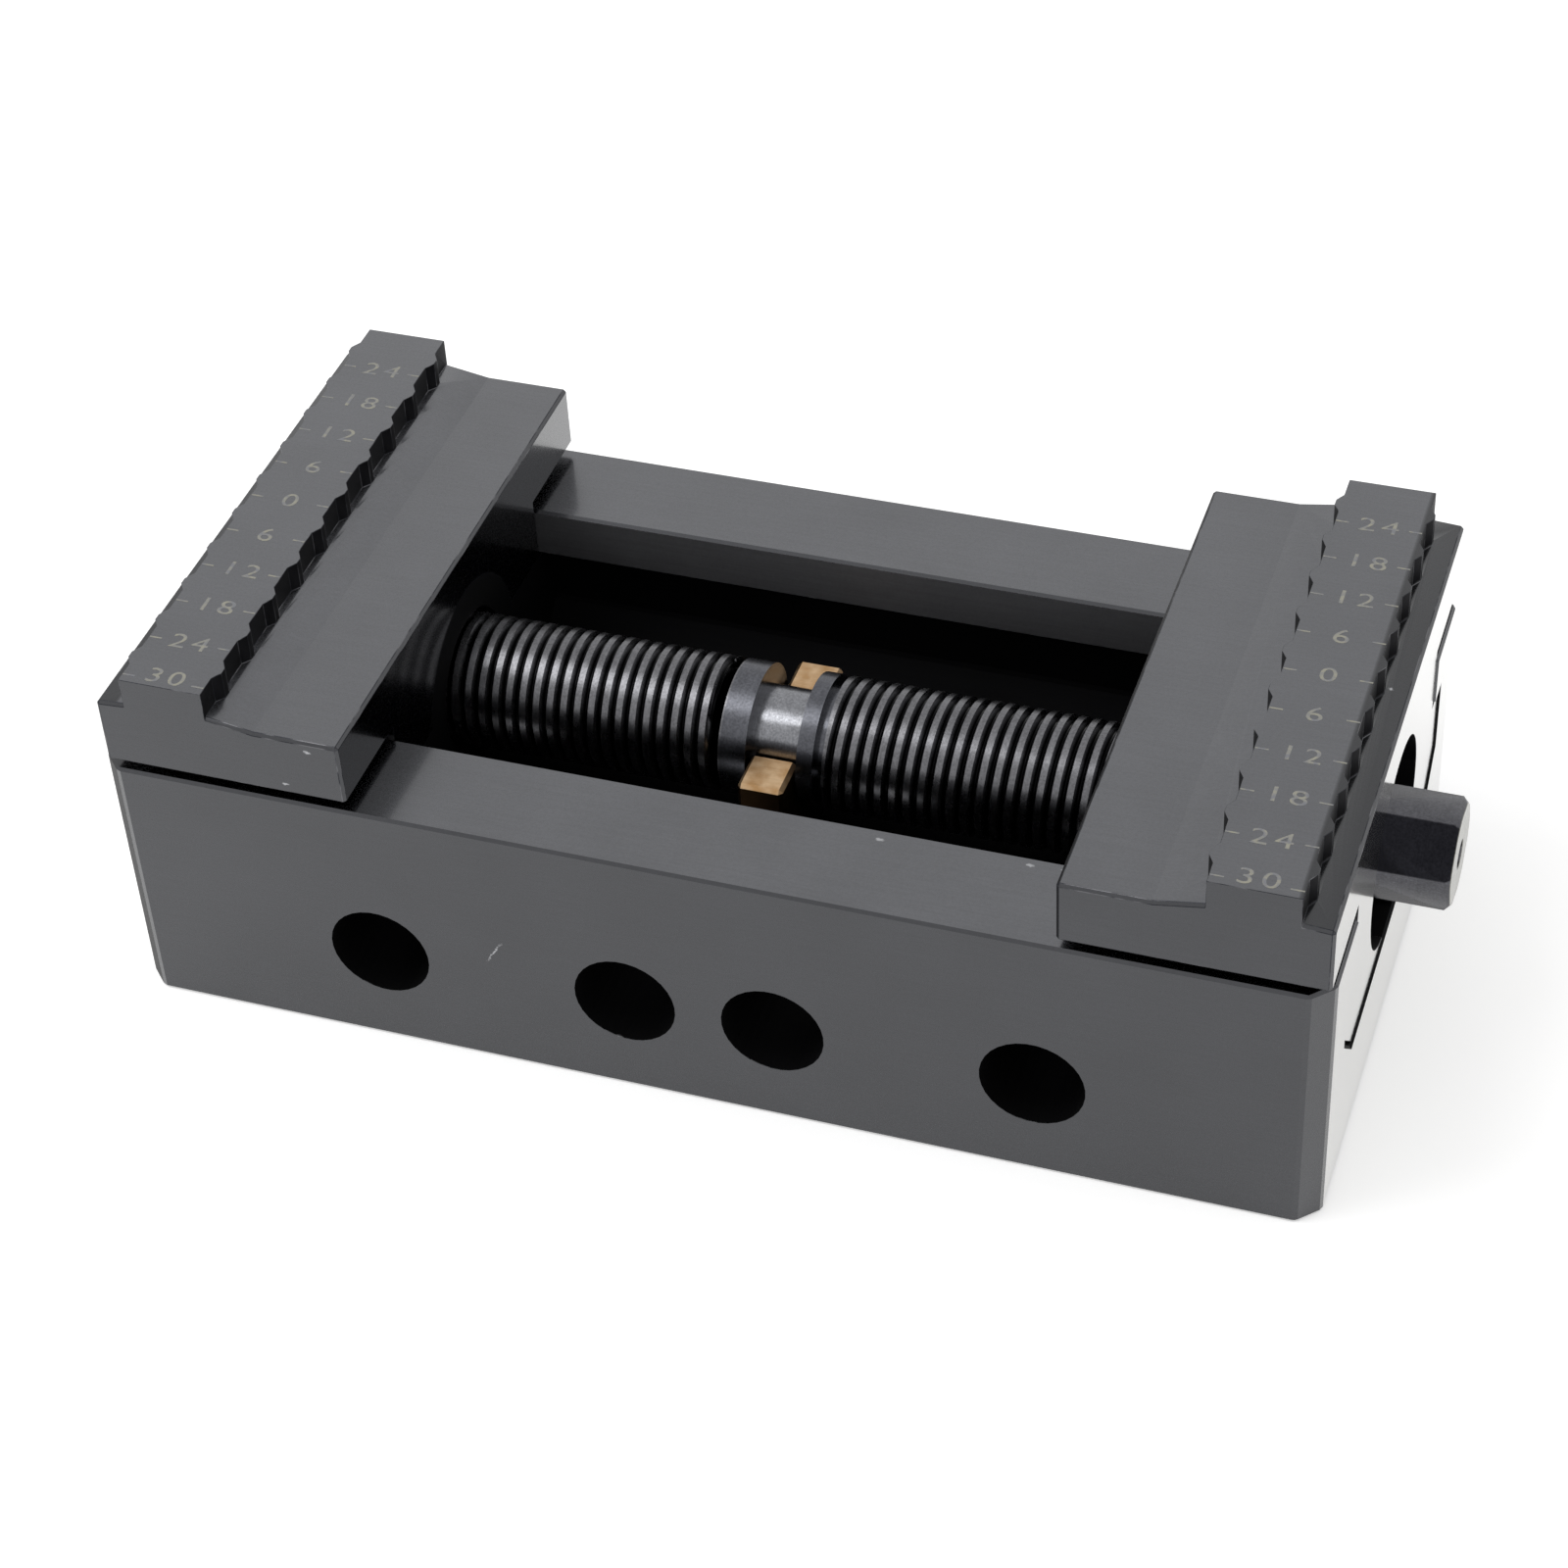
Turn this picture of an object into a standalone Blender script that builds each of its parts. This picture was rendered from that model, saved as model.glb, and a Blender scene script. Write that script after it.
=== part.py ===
"""Self-centering vise: a steel body with a T-shaped channel, two ridged jaws on T-tongues, and a
left-hand and right-hand spindle that a bronze yoke holds at the middle.

Metres, +Z up. The origin is the centre of the body's underside, X runs along the spindle towards
its hexagonal drive end, and Y runs across the rails.
"""

import math

import bmesh
import bpy
from mathutils import Matrix, Vector

# Body
BODY_LENGTH = 0.1246
BODY_WIDTH = 0.062
BODY_HEIGHT = 0.0303
CORNER_CHAMFER = 0.0022
EDGE_BREAK = 0.0003

# Channel through the body
RAIL_WIDTH = 0.01155
LIP_THICKNESS = 0.0058
LIP_OVERHANG = 0.00305
FLOOR_THICKNESS = 0.012
CHANNEL_CHAMFER = 0.0045

# Drain holes through the front wall
DRAIN_RADIUS = 0.0053
DRAIN_INNER_X = 0.0077
DRAIN_OUTER_X = 0.034
DRAIN_HEIGHT = 0.0118
DRAIN_DEPTH = 0.0138
DRILL_POINT = math.radians(59)

# Fixing features of the underside, placed from the body's ends and sides
BUSH_FROM_END = 0.0123
BUSH_LENGTH = 0.008
BUSH_RADIUS = 0.007
BUSH_BORE_RADIUS = 0.005
TAPPED_FROM_END = 0.0123
TAPPED_FROM_SIDE = 0.007
TAPPED_RADIUS = 0.003
TAPPED_DEPTH = 0.012

# Jaws
DRIVE_JAW_INSET = 0.0002
FAR_JAW_INSET = 0.0014
JAW_LIFT = 0.00105
PLATE_THICKNESS = 0.0071
INNER_FLAT = 0.0090
RAMP_LENGTH = 0.0049
RAMP_RISE = 0.00085
RIDGE_WIDTH = 0.0088
RIDGE_HEIGHT = 0.0038
OUTER_SHELF = 0.0031
SHELF_RISE = 0.00060
SHELF_FALL = 0.0002
TOOTH_PITCH = 0.006
TOOTH_HEIGHT = 0.00062
TOOTH_BASE = 0.0028
TOOTH_TIP = 0.0008

# Threaded nuts, pressed in from the jaws' outer ends against an inner web
NUT_LENGTH = 0.0145
NUT_RADIUS = 0.009
NUT_WEB = 0.003
WRENCH_RELIEF_RADIUS = 0.01075
WEB_BORE_CLEARANCE = 0.0006
NUT_SCREW_RADIUS = 0.002
NUT_SCREW_LENGTH = 0.008
NUT_SCREW_DROP = 0.0019
NUT_SCREW_SOCKET = 0.002
NUT_SCREW_SOCKET_DEPTH = 0.0025

# Spindle
SPINDLE_HEIGHT = 0.0227
THREAD_RADIUS = 0.007
NECK_RADIUS = 0.0049
LEFT_COLLAR = 0.0029
RIGHT_COLLAR = 0.0017
UNDERCUT_LENGTH = 0.0010
UNDERCUT_DEPTH = 0.0011
FAR_END_INSET = 0.0043
THREAD_END_INSET = 0.0078
THREAD_CHAMFER = 0.0010
HEX_ACROSS_FLATS = 0.0098
HEX_PROUD = 0.0063
HEX_TURN = math.radians(10.4)
HEX_CHAMFER = 0.0006
CENTRE_HOLE_RADIUS = 0.0016
CENTRE_HOLE_DEPTH = 0.0034

# Bronze yoke that holds the spindle's neck
YOKE_THICKNESS = 0.0048
YOKE_ARM = 0.0051
YOKE_TOP = 0.0240
YOKE_SEAT_DEPTH = 0.005
YOKE_CORNER = 0.0004
YOKE_SCREW_RADIUS = 0.0015
YOKE_SCREW_LENGTH = 0.012
YOKE_HEAD_RADIUS = 0.00275
YOKE_HEAD_HEIGHT = 0.0026
YOKE_HEAD_RECESS = 0.0005
YOKE_SOCKET = 0.002
YOKE_SOCKET_DEPTH = 0.0014

# Clearances
GAP = 0.0003
PIN_CHAMFER = 0.0004
OVERSHOOT = 0.002
ROUND_STEPS = 48
DRAIN_STEPS = 32
SMALL_STEPS = 24
WELD = 0.000001

# Places worked out from the sizes above
HALF_LENGTH = BODY_LENGTH / 2
HALF_WIDTH = BODY_WIDTH / 2
BUSH_X = HALF_LENGTH - BUSH_FROM_END
TAPPED_X = HALF_LENGTH - TAPPED_FROM_END
TAPPED_Y = HALF_WIDTH - TAPPED_FROM_SIDE
LIP_Y = HALF_WIDTH - RAIL_WIDTH
SLOT_Y = LIP_Y + LIP_OVERHANG
LIP_Z = BODY_HEIGHT - LIP_THICKNESS
JAW_LENGTH = INNER_FLAT + RAMP_LENGTH + RIDGE_WIDTH + OUTER_SHELF
PLATE_BOTTOM = BODY_HEIGHT + JAW_LIFT
PLATE_TOP = PLATE_BOTTOM + PLATE_THICKNESS
RIDGE_TOP = PLATE_TOP + RIDGE_HEIGHT
TONGUE_BOTTOM = FLOOR_THICKNESS + GAP
NECK_HALF = YOKE_THICKNESS / 2 + GAP
YOKE_INNER = NECK_RADIUS + GAP
YOKE_OUTER = YOKE_INNER + YOKE_ARM
YOKE_BOTTOM = FLOOR_THICKNESS - YOKE_SEAT_DEPTH + GAP
YOKE_SCREW_Y = (YOKE_INNER + YOKE_OUTER) / 2
HEAD_TOP = YOKE_HEAD_RECESS + YOKE_HEAD_HEIGHT
SPINDLE_FAR_END = -(HALF_LENGTH - FAR_END_INSET)
THREAD_END = HALF_LENGTH - THREAD_END_INSET
HEX_END = HALF_LENGTH + HEX_PROUD

# Rotations that turn a shape's own +Z axis onto another direction
TURN_TO = {
    "+X": Matrix.Rotation(math.pi / 2, 4, "Y"),
    "-X": Matrix.Rotation(-math.pi / 2, 4, "Y"),
    "+Y": Matrix.Rotation(-math.pi / 2, 4, "X"),
    "-Y": Matrix.Rotation(math.pi / 2, 4, "X"),
    "+Z": Matrix.Identity(4),
}

# An outline drawn in the plane across an axis: where its first, second and extruded directions go
ACROSS = {
    "X": Matrix(((0, 0, 1, 0), (1, 0, 0, 0), (0, 1, 0, 0), (0, 0, 0, 1))),
    "Y": Matrix(((1, 0, 0, 0), (0, 0, -1, 0), (0, 1, 0, 0), (0, 0, 0, 1))),
    "Z": Matrix.Identity(4),
}


def clear_scene():
    for obj in list(bpy.data.objects):
        bpy.data.objects.remove(obj, do_unlink=True)


def new_collection(name):
    collection = bpy.data.collections.new(name)
    bpy.context.scene.collection.children.link(collection)
    return collection


def material(name, color, roughness, metallic):
    result = bpy.data.materials.new(name)
    result.use_nodes = True
    surface = result.node_tree.nodes["Principled BSDF"]
    surface.inputs["Base Color"].default_value = (*color, 1.0)
    surface.inputs["Roughness"].default_value = roughness
    surface.inputs["Metallic"].default_value = metallic
    result.diffuse_color = (*color, 1.0)
    return result


def as_mesh_object(source):
    """Replaces an object with its evaluated shape: one welded mesh, with faces that point out."""
    bpy.context.view_layer.update()
    graph = bpy.context.evaluated_depsgraph_get()
    mesh = bpy.data.meshes.new_from_object(source.evaluated_get(graph))
    shape = bmesh.new()
    shape.from_mesh(mesh)
    bmesh.ops.remove_doubles(shape, verts=shape.verts, dist=WELD)
    bmesh.ops.dissolve_limit(
        shape, angle_limit=math.radians(0.5), verts=shape.verts, edges=shape.edges
    )
    bmesh.ops.recalc_face_normals(shape, faces=shape.faces)
    shape.to_mesh(mesh)
    shape.free()
    name = source.name
    matrix = source.matrix_world.copy()
    bpy.data.objects.remove(source)
    result = bpy.data.objects.new(name, mesh)
    result.matrix_world = matrix
    mesh.name = name
    return result


def prism(name, outline, axis, low, high):
    """A flat outline across the axis, extruded from low to high along it."""
    curve = bpy.data.curves.new(name, "CURVE")
    curve.dimensions = "2D"
    curve.fill_mode = "BOTH"
    curve.extrude = (high - low) / 2
    spline = curve.splines.new("POLY")
    spline.points.add(len(outline) - 1)
    for point, (across, up) in zip(spline.points, outline):
        point.co = (across, up, 0, 1)
    spline.use_cyclic_u = True
    source = bpy.data.objects.new(name, curve)
    bpy.context.scene.collection.objects.link(source)
    shift = Vector((axis == "X", axis == "Y", axis == "Z")) * (low + high) / 2
    source.matrix_world = Matrix.Translation(shift) @ ACROSS[axis]
    return as_mesh_object(source)


def turned(name, profile, axis, place, steps=ROUND_STEPS):
    """A profile of (height, radius) points, listed from the top down, turned about the axis."""
    mesh = bpy.data.meshes.new(name)
    points = [(radius, 0, height) for height, radius in profile]
    closed = profile[0][1] > 0
    edges = [(i, i + 1) for i in range(len(points) - 1)]
    if closed:
        edges.append((len(points) - 1, 0))
    mesh.from_pydata(points, edges, [])
    source = bpy.data.objects.new(name, mesh)
    bpy.context.scene.collection.objects.link(source)
    screw = source.modifiers.new("turn", "SCREW")
    screw.axis = "Z"
    screw.steps = screw.render_steps = steps
    screw.use_merge_vertices = True
    screw.merge_threshold = WELD
    half_step = Matrix.Rotation(math.pi / steps, 4, "Z")
    source.matrix_world = Matrix.Translation(place) @ TURN_TO[axis] @ half_step
    result = as_mesh_object(source)
    result.data.shade_smooth()
    result.data.set_sharp_from_angle(angle=math.radians(30))
    return result


def rod(name, radius, axis, place, low, high, steps=SMALL_STEPS):
    return turned(name, [(high, 0), (high, radius), (low, radius), (low, 0)], axis, place, steps)


def hexagon(across_flats, turn=0.0):
    """Corner points of a hexagon, the first one on the outline's negative first axis."""
    reach = across_flats / math.sqrt(3)
    angles = [turn + math.radians(60 * corner) for corner in range(6)]
    return [(-reach * math.cos(a), reach * math.sin(a)) for a in angles]


def mirrored(half):
    """A symmetric outline from its half at positive first coordinates, listed from the top down."""
    return half + [(-across, up) for across, up in reversed(half)]


def helper(obj):
    obj.hide_render = True
    obj.display_type = "WIRE"
    CUTTERS.objects.link(obj)
    return obj


def combine(target, operation, tool):
    boolean = target.modifiers.new(tool.name, "BOOLEAN")
    boolean.operation = operation
    boolean.solver = "EXACT"
    boolean.object = helper(tool)


def finish(obj, surface, joint=None):
    """Adds the piece to the vise. A moving piece takes its joint's empty as parent and origin."""
    obj.data.materials.clear()
    obj.data.materials.append(surface)
    PARTS.objects.link(obj)
    if joint:
        bpy.context.view_layer.update()
        obj.data.transform(Matrix.Translation(-joint.location) @ obj.matrix_world)
        obj.matrix_world = Matrix.Identity(4)
        obj.parent = joint
    return obj


def joint_empty(name, place):
    empty = bpy.data.objects.new(name, None)
    empty.location = place
    empty.empty_display_size = THREAD_RADIUS
    PARTS.objects.link(empty)
    return empty


def body_outline():
    """Half of the body's cross-section: outside, rail top, lip, undercut, chamfer and floor."""
    return [
        (0, FLOOR_THICKNESS),
        (SLOT_Y - CHANNEL_CHAMFER, FLOOR_THICKNESS),
        (SLOT_Y, FLOOR_THICKNESS + CHANNEL_CHAMFER),
        (SLOT_Y, LIP_Z),
        (LIP_Y, LIP_Z),
        (LIP_Y, BODY_HEIGHT),
        (HALF_WIDTH, BODY_HEIGHT),
        (HALF_WIDTH, 0),
    ]


def chamfer_corners(obj):
    """Cuts the body's four upright corners at 45 degrees."""
    shape = bmesh.new()
    shape.from_mesh(obj.data)
    shape.transform(obj.matrix_world)
    shape.normal_update()
    corners = []
    for edge in shape.edges:
        first, last = (vert.co for vert in edge.verts)
        upright = (first - last).xy.length < WELD
        if upright and abs(abs(first.y) - HALF_WIDTH) < WELD:
            corners.append(edge)
    bmesh.ops.bevel(
        shape,
        geom=corners,
        offset=CORNER_CHAMFER,
        affect="EDGES",
        segments=1,
        profile=0.5,
        material=-1,
    )
    shape.to_mesh(obj.data)
    shape.free()
    obj.matrix_world = Matrix.Identity(4)


def break_edges(obj, width=EDGE_BREAK):
    bevel = obj.modifiers.new("edge break", "BEVEL")
    bevel.width = width
    bevel.segments = 1
    bevel.limit_method = "ANGLE"
    bevel.angle_limit = math.radians(40)


def drain(name, x):
    """A hole drilled from the front into the channel and on into its floor, with the drill's point."""
    tip = DRAIN_DEPTH + DRAIN_RADIUS / math.tan(DRILL_POINT)
    profile = [
        (OVERSHOOT, 0),
        (OVERSHOOT, DRAIN_RADIUS),
        (-DRAIN_DEPTH, DRAIN_RADIUS),
        (-tip, 0),
    ]
    return turned(name, profile, "-Y", (x, -HALF_WIDTH, DRAIN_HEIGHT), DRAIN_STEPS)


def tapped_hole(name, place):
    """A countersunk blind hole in the underside, with the drill's point."""
    profile = [
        (TAPPED_DEPTH + TAPPED_RADIUS / math.tan(DRILL_POINT), 0),
        (TAPPED_DEPTH, TAPPED_RADIUS),
        (PIN_CHAMFER, TAPPED_RADIUS),
        (-OVERSHOOT, TAPPED_RADIUS + PIN_CHAMFER + OVERSHOOT),
        (-OVERSHOOT, 0),
    ]
    return turned(name, profile, "+Z", place, SMALL_STEPS)


def yoke_screw_hole(name, y):
    """The counterbored hole for a screw that comes up into the yoke from below."""
    top = FLOOR_THICKNESS - YOKE_SEAT_DEPTH + OVERSHOOT
    shank = YOKE_SCREW_RADIUS + GAP
    head = YOKE_HEAD_RADIUS + GAP
    profile = [
        (top, 0),
        (top, shank),
        (HEAD_TOP + GAP, shank),
        (HEAD_TOP + GAP, head),
        (-OVERSHOOT, head),
        (-OVERSHOOT, 0),
    ]
    return turned(name, profile, "+Z", (0, y, 0), SMALL_STEPS)


def yoke_seat():
    """The pocket in the channel's floor that the yoke's foot sits in."""
    half_x = YOKE_THICKNESS / 2 + GAP
    half_y = YOKE_OUTER + GAP
    outline = [(-half_x, -half_y), (half_x, -half_y), (half_x, half_y), (-half_x, half_y)]
    low = FLOOR_THICKNESS - YOKE_SEAT_DEPTH
    return prism("yoke_seat", outline, "Z", low, FLOOR_THICKNESS + OVERSHOOT)


def body():
    obj = prism("body", mirrored(body_outline())[1:-1], "X", -HALF_LENGTH, HALF_LENGTH)
    chamfer_corners(obj)
    break_edges(obj)
    for column, x in enumerate((-DRAIN_OUTER_X, -DRAIN_INNER_X, DRAIN_INNER_X, DRAIN_OUTER_X)):
        combine(obj, "DIFFERENCE", drain(f"drain_{column}", x))
    combine(obj, "DIFFERENCE", yoke_seat())
    combine(obj, "DIFFERENCE", yoke_screw_hole("front_yoke_screw_hole", -YOKE_SCREW_Y))
    combine(obj, "DIFFERENCE", yoke_screw_hole("rear_yoke_screw_hole", YOKE_SCREW_Y))
    bush_top = BUSH_LENGTH + 2 * GAP
    for name, side in (("left", -1), ("right", 1)):
        place = (side * BUSH_X, 0, 0)
        bore = rod(f"{name}_bush_bore", BUSH_RADIUS + GAP, "+Z", place, -OVERSHOOT, bush_top)
        combine(obj, "DIFFERENCE", bore)
        for row, y in (("front", -TAPPED_Y), ("rear", TAPPED_Y)):
            hole = tapped_hole(f"{name}_{row}_tapped_hole", (side * TAPPED_X, y, 0))
            combine(obj, "DIFFERENCE", hole)
    return finish(obj, BLACK_STEEL)


def jaw_place(side):
    """Distance from the middle to the jaw's outer face. The drive end's side is 1, the far end's -1."""
    return HALF_LENGTH - (DRIVE_JAW_INSET if side > 0 else FAR_JAW_INSET)


def jaw_inner(side):
    return jaw_place(side) - JAW_LENGTH


def plate_outline(side):
    """The jaw plate seen from the front: underside, outer shelf, under the ridge, ramp, inner flat."""
    ramp_start = INNER_FLAT
    ramp_end = ramp_start + RAMP_LENGTH
    shelf_start = ramp_end + RIDGE_WIDTH
    inner = jaw_inner(side)
    steps = [
        (0, PLATE_BOTTOM),
        (JAW_LENGTH, PLATE_BOTTOM),
        (JAW_LENGTH, PLATE_TOP + SHELF_RISE - SHELF_FALL),
        (shelf_start, PLATE_TOP + SHELF_RISE),
        (ramp_end, PLATE_TOP + RAMP_RISE),
        (ramp_start, PLATE_TOP),
        (0, PLATE_TOP),
    ]
    return [(side * (inner + along), up) for along, up in steps]


def toothed_wall(root, outward):
    """One ridge wall seen from above, front to back: flats with a pointed tooth every pitch."""
    each_side = math.floor((HALF_WIDTH - TOOTH_BASE / 2) / TOOTH_PITCH + 0.5)
    points = [(root, -HALF_WIDTH)]
    for number in range(-each_side, each_side):
        middle = (number + 0.5) * TOOTH_PITCH
        points.append((root, middle - TOOTH_BASE / 2))
        points.append((root + outward * TOOTH_HEIGHT, middle - TOOTH_TIP / 2))
        points.append((root + outward * TOOTH_HEIGHT, middle + TOOTH_TIP / 2))
        points.append((root, middle + TOOTH_BASE / 2))
    points.append((root, HALF_WIDTH))
    return points


def ridge_outline(side):
    inner = jaw_inner(side) + INNER_FLAT + RAMP_LENGTH
    inner_wall = toothed_wall(side * inner, -side)
    outer_wall = toothed_wall(side * (inner + RIDGE_WIDTH), side)
    return inner_wall + outer_wall[::-1]


def tongue_outline():
    """Half of the T-tongue's cross-section, which runs in the body's channel with the sliding gap."""
    neck = LIP_Y - GAP
    flange = SLOT_Y - GAP
    return [
        (neck, PLATE_BOTTOM + PLATE_THICKNESS / 2),
        (neck, LIP_Z - GAP),
        (flange, LIP_Z - GAP),
        (flange, TONGUE_BOTTOM + CHANNEL_CHAMFER),
        (flange - CHANNEL_CHAMFER, TONGUE_BOTTOM),
    ]


def jaw_bore(name, side):
    """The stepped bore along the spindle, outer end first: wrench relief, the nut's seat and web."""
    seat_end = NUT_WEB + GAP + NUT_LENGTH
    profile = [
        (JAW_LENGTH + OVERSHOOT, 0),
        (JAW_LENGTH + OVERSHOOT, WRENCH_RELIEF_RADIUS),
        (seat_end, WRENCH_RELIEF_RADIUS),
        (seat_end, NUT_RADIUS + GAP),
        (NUT_WEB, NUT_RADIUS + GAP),
        (NUT_WEB, THREAD_RADIUS + WEB_BORE_CLEARANCE),
        (-OVERSHOOT, THREAD_RADIUS + WEB_BORE_CLEARANCE),
        (-OVERSHOOT, 0),
    ]
    axis = "+X" if side > 0 else "-X"
    return turned(name, profile, axis, (side * jaw_inner(side), 0, SPINDLE_HEIGHT))


def nut_start(side):
    """Distance from the middle to the nut's inner face."""
    return jaw_inner(side) + NUT_WEB + GAP


def nut_screw_place(side):
    x = side * (nut_start(side) + NUT_LENGTH / 2)
    return (x, NUT_RADIUS + GAP, SPINDLE_HEIGHT - NUT_SCREW_DROP)


def jaw(name, side, slide):
    obj = prism(name, plate_outline(side), "Y", -HALF_WIDTH, HALF_WIDTH)
    break_edges(obj)
    low, high = sorted((side * jaw_inner(side), side * jaw_place(side)))
    combine(obj, "UNION", prism(f"{name}_tongue", mirrored(tongue_outline()), "X", low, high))
    ridge_foot = PLATE_BOTTOM + PLATE_THICKNESS / 2
    combine(obj, "UNION", prism(f"{name}_ridge", ridge_outline(side), "Z", ridge_foot, RIDGE_TOP))
    combine(obj, "DIFFERENCE", jaw_bore(f"{name}_bore", side))
    radius = NUT_SCREW_RADIUS + GAP
    place = nut_screw_place(side)
    hole = rod(f"{name}_nut_screw_hole", radius, "+Y", place, -NUT_RADIUS / 2, SLOT_Y)
    combine(obj, "DIFFERENCE", hole)
    return finish(obj, BLACK_STEEL, slide)


def nut(name, side, slide):
    """A threaded bush, drawn with its bore at the thread's outside."""
    bore = THREAD_RADIUS + GAP
    profile = [
        (NUT_LENGTH, bore + PIN_CHAMFER),
        (NUT_LENGTH, NUT_RADIUS - PIN_CHAMFER),
        (NUT_LENGTH - PIN_CHAMFER, NUT_RADIUS),
        (PIN_CHAMFER, NUT_RADIUS),
        (0, NUT_RADIUS - PIN_CHAMFER),
        (0, bore + PIN_CHAMFER),
        (PIN_CHAMFER, bore),
        (NUT_LENGTH - PIN_CHAMFER, bore),
    ]
    axis = "+X" if side > 0 else "-X"
    obj = turned(name, profile, axis, (side * nut_start(side), 0, SPINDLE_HEIGHT))
    return finish(obj, BRONZE, slide)


def socket(name, across_flats, place, axis, low, high):
    """A hexagon socket's cutter along the axis, between two distances from its place."""
    cutter = prism(name, hexagon(across_flats), "Z", low, high)
    cutter.matrix_world = Matrix.Translation(place) @ TURN_TO[axis] @ cutter.matrix_world
    return cutter


def nut_screw(name, side, slide):
    """A grub screw that holds the nut in its seat."""
    place = nut_screw_place(side)
    profile = [
        (NUT_SCREW_LENGTH, 0),
        (NUT_SCREW_LENGTH, NUT_SCREW_RADIUS - PIN_CHAMFER),
        (NUT_SCREW_LENGTH - PIN_CHAMFER, NUT_SCREW_RADIUS),
        (PIN_CHAMFER, NUT_SCREW_RADIUS),
        (0, NUT_SCREW_RADIUS - PIN_CHAMFER),
        (0, 0),
    ]
    obj = turned(name, profile, "+Y", place, SMALL_STEPS)
    depth = NUT_SCREW_LENGTH - NUT_SCREW_SOCKET_DEPTH
    cutter = socket(f"{name}_socket", NUT_SCREW_SOCKET, place, "+Y", depth, NUT_SCREW_LENGTH + OVERSHOOT)
    combine(obj, "DIFFERENCE", cutter)
    return finish(obj, SCREW_STEEL, slide)


def spindle_profile():
    """The turned spindle from the drive end down to the far end, as (X, radius) points."""
    hex_root = HEX_ACROSS_FLATS / 2 - PIN_CHAMFER
    undercut = THREAD_RADIUS - UNDERCUT_DEPTH
    return [
        (THREAD_END + THREAD_CHAMFER, 0),
        (THREAD_END + THREAD_CHAMFER, hex_root),
        (THREAD_END, hex_root),
        (THREAD_END, THREAD_RADIUS - THREAD_CHAMFER),
        (THREAD_END - THREAD_CHAMFER, THREAD_RADIUS),
        (NECK_HALF + RIGHT_COLLAR + UNDERCUT_LENGTH, THREAD_RADIUS),
        (NECK_HALF + RIGHT_COLLAR + UNDERCUT_LENGTH, undercut),
        (NECK_HALF + RIGHT_COLLAR, undercut),
        (NECK_HALF + RIGHT_COLLAR, THREAD_RADIUS),
        (NECK_HALF, THREAD_RADIUS),
        (NECK_HALF, NECK_RADIUS),
        (-NECK_HALF, NECK_RADIUS),
        (-NECK_HALF, THREAD_RADIUS),
        (-NECK_HALF - LEFT_COLLAR, THREAD_RADIUS),
        (-NECK_HALF - LEFT_COLLAR, undercut),
        (-NECK_HALF - LEFT_COLLAR - UNDERCUT_LENGTH, undercut),
        (-NECK_HALF - LEFT_COLLAR - UNDERCUT_LENGTH, THREAD_RADIUS),
        (SPINDLE_FAR_END + THREAD_CHAMFER, THREAD_RADIUS),
        (SPINDLE_FAR_END, THREAD_RADIUS - THREAD_CHAMFER),
        (SPINDLE_FAR_END, 0),
    ]


def spindle(turn):
    place = (0, 0, SPINDLE_HEIGHT)
    obj = turned("spindle", spindle_profile(), "+X", place)
    corners = hexagon(HEX_ACROSS_FLATS, HEX_TURN)
    drive = [(across, SPINDLE_HEIGHT + up) for across, up in corners]
    hexagon_end = prism("spindle_hexagon", drive, "X", THREAD_END - THREAD_CHAMFER, HEX_END)
    corner_radius = HEX_ACROSS_FLATS / math.sqrt(3)
    chamfer = [
        (HEX_END, 0),
        (HEX_END, corner_radius - HEX_CHAMFER),
        (HEX_END - HEX_CHAMFER, corner_radius),
        (HEX_END - 2 * HEX_CHAMFER, corner_radius + OVERSHOOT),
        (THREAD_END - OVERSHOOT, corner_radius + OVERSHOOT),
        (THREAD_END - OVERSHOOT, 0),
    ]
    combine(hexagon_end, "INTERSECT", turned("spindle_end_chamfer", chamfer, "+X", place))
    combine(obj, "UNION", hexagon_end)
    centre = [
        (HEX_END + OVERSHOOT, 0),
        (HEX_END + OVERSHOOT, CENTRE_HOLE_RADIUS + OVERSHOOT),
        (HEX_END, CENTRE_HOLE_RADIUS),
        (HEX_END - CENTRE_HOLE_RADIUS / 2, CENTRE_HOLE_RADIUS / 2),
        (HEX_END - CENTRE_HOLE_DEPTH, CENTRE_HOLE_RADIUS / 2),
        (HEX_END - CENTRE_HOLE_DEPTH, 0),
    ]
    combine(obj, "DIFFERENCE", turned("spindle_centre_hole", centre, "+X", place, SMALL_STEPS))
    return finish(obj, SPINDLE_STEEL, turn)


def yoke():
    """The bronze fork: two arms beside the neck, a round saddle under it and a foot in the floor."""
    quarter = SMALL_STEPS // 4
    angles = [math.pi / 2 * step / quarter for step in range(quarter)]
    arc = [(YOKE_INNER * math.cos(a), SPINDLE_HEIGHT - YOKE_INNER * math.sin(a)) for a in angles]
    half = [(YOKE_OUTER, YOKE_BOTTOM), (YOKE_OUTER, YOKE_TOP), (YOKE_INNER, YOKE_TOP)] + arc
    saddle_bottom = [(0, SPINDLE_HEIGHT - YOKE_INNER)]
    outline = half + saddle_bottom + [(-across, up) for across, up in reversed(half)]
    obj = prism("centre_yoke", outline, "X", -YOKE_THICKNESS / 2, YOKE_THICKNESS / 2)
    break_edges(obj, YOKE_CORNER)
    low = YOKE_BOTTOM - OVERSHOOT
    tip = HEAD_TOP + YOKE_SCREW_LENGTH + GAP
    for name, y in (("front", -YOKE_SCREW_Y), ("rear", YOKE_SCREW_Y)):
        hole = rod(f"{name}_yoke_thread", YOKE_SCREW_RADIUS + GAP, "+Z", (0, y, 0), low, tip)
        combine(obj, "DIFFERENCE", hole)
    return finish(obj, BRONZE)


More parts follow.
